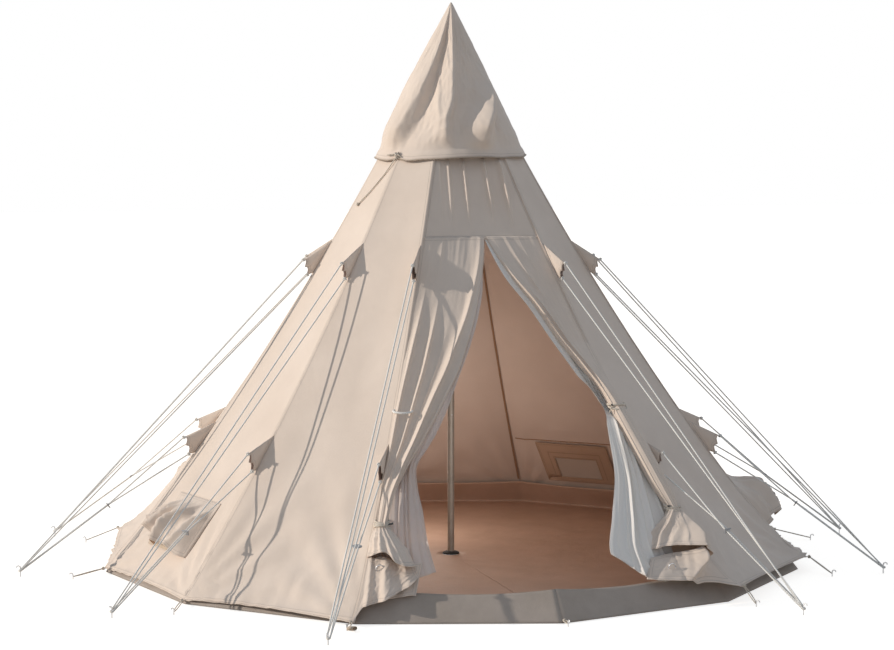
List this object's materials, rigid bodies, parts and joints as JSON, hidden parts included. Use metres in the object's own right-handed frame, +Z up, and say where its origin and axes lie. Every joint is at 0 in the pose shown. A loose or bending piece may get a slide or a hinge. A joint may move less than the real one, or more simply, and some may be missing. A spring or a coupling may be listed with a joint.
{
  "type": "pyramid tent",
  "caption": "Pyramid canvas tent on a centre pole, with a pointed cowl, tied-back door curtains, raised-edge groundsheet, hooded net windows and taut guy lines.",
  "frame": {"origin": "on the ground at the axis of the centre pole, at the underside of the groundsheet", "axes": "+Z up along the centre pole, -Y out of the doorway, +X to the right of someone facing the way +Y points"},
  "size_m": [4.9514, 4.6201, 3.136],
  "materials": {
    "canvas": "matte woven cotton",
    "insect_net": "fine mesh",
    "groundsheet_cloth": "coated cloth",
    "guy_line": "twisted cord",
    "peg_steel": "plain steel wire",
    "pole_tube": "satin tube",
    "snap_button": "smooth",
    "foot_rubber": "matte",
    "crown_webbing": "heavy webbing",
    "slider_plastic": "matte"
  },
  "bodies": {
    "tent": {"cowl": "canvas", "crown_collar": "crown_webbing", "door_flap_left": "canvas", "door_flap_right": "canvas", "door_lintel_panel": "canvas", "groundsheet": "groundsheet_cloth", "guy_peg_01": "peg_steel", "guy_peg_02": "peg_steel", "guy_peg_03": "peg_steel", "guy_peg_04": "peg_steel", "guy_peg_05": "peg_steel", "guy_peg_06": "peg_steel", "guy_peg_07": "peg_steel", "guy_peg_08": "peg_steel", "guy_peg_09": "peg_steel", "guy_peg_10": "peg_steel", "guy_peg_11": "peg_steel", "guy_rope_01": "guy_line", "guy_rope_02": "guy_line", "guy_rope_03": "guy_line", "guy_rope_04": "guy_line", "guy_rope_05": "guy_line", "guy_rope_06": "guy_line", "guy_rope_07": "guy_line", "guy_rope_08": "guy_line", "guy_rope_09": "guy_line", "guy_rope_10": "guy_line", "guy_rope_11": "guy_line", "net_door_left": "insect_net", "net_door_right": "insect_net", "pole_foot": "foot_rubber", "pole_section_1": "pole_tube", "pole_section_2": "pole_tube", "pole_section_3": "pole_tube", "pole_section_4": "pole_tube", "wall_panel_01": "canvas", "wall_panel_02": "canvas", "wall_panel_03": "canvas", "wall_panel_04": "canvas", "wall_panel_05": "canvas", "wall_panel_06": "canvas", "wall_panel_07": "canvas", "wall_panel_08": "canvas", "wall_panel_09": "canvas", "wall_panel_10": "canvas", "window_net_1": "insect_net", "window_net_2": "insect_net", "window_net_3": "insect_net", "window_net_4": "insect_net"},
    "window_hood_1": {"window_hood_1": "canvas"},
    "window_hood_2": {"window_hood_2": "canvas"},
    "window_hood_3": {"window_hood_3": "canvas"},
    "window_hood_4": {"window_hood_4": "canvas"},
    "guy_slider_1": {"guy_slider_1": "slider_plastic"},
    "guy_slider_2": {"guy_slider_2": "slider_plastic"},
    "guy_slider_3": {"guy_slider_3": "slider_plastic"},
    "guy_slider_4": {"guy_slider_4": "slider_plastic"},
    "pole_button_1": {"pole_button_1": "snap_button"},
    "pole_button_2": {"pole_button_2": "snap_button"},
    "pole_button_3": {"pole_button_3": "snap_button"}
  },
  "joints": [
    {"name": "window_hood_1_lift", "type": "hinge", "parent": "tent", "child": "window_hood_1", "pos_m": [-1.52336, -0.40818, 0.45755], "axis": [-0.2588, 0.9659, 0], "range_deg": [0, 100]},
    {"name": "window_hood_2_lift", "type": "hinge", "parent": "tent", "child": "window_hood_2", "pos_m": [-1.11518, 1.11518, 0.45755], "axis": [0.7071, 0.7071, 0], "range_deg": [0, 100]},
    {"name": "window_hood_3_lift", "type": "hinge", "parent": "tent", "child": "window_hood_3", "pos_m": [1.11518, 1.11518, 0.45755], "axis": [0.7071, -0.7071, 0], "range_deg": [0, 100]},
    {"name": "window_hood_4_lift", "type": "hinge", "parent": "tent", "child": "window_hood_4", "pos_m": [1.52336, -0.40818, 0.45755], "axis": [-0.2588, -0.9659, 0], "range_deg": [0, 100]},
    {"name": "guy_slider_1_travel", "type": "slide", "parent": "tent", "child": "guy_slider_1", "axis": [-0.7051, -0.4071, -0.5806], "range_m": [0, 0.38]},
    {"name": "guy_slider_2_travel", "type": "slide", "parent": "tent", "child": "guy_slider_2", "axis": [-0.8142, 0, -0.5806], "range_m": [0, 0.38]},
    {"name": "guy_slider_3_travel", "type": "slide", "parent": "tent", "child": "guy_slider_3", "axis": [0.7051, -0.4071, -0.5806], "range_m": [0, 0.38]},
    {"name": "guy_slider_4_travel", "type": "slide", "parent": "tent", "child": "guy_slider_4", "axis": [0.4071, -0.7051, -0.5806], "range_m": [0, 0.38]},
    {"name": "pole_button_1_press", "type": "slide", "parent": "tent", "child": "pole_button_1", "axis": [0, 1, 0], "range_m": [0, 0.0035], "stiffness_N_per_m": 400},
    {"name": "pole_button_2_press", "type": "slide", "parent": "tent", "child": "pole_button_2", "axis": [0, 1, 0], "range_m": [0, 0.0035], "stiffness_N_per_m": 400},
    {"name": "pole_button_3_press", "type": "slide", "parent": "tent", "child": "pole_button_3", "axis": [0, 1, 0], "range_m": [0, 0.0035], "stiffness_N_per_m": 400}
  ]
}
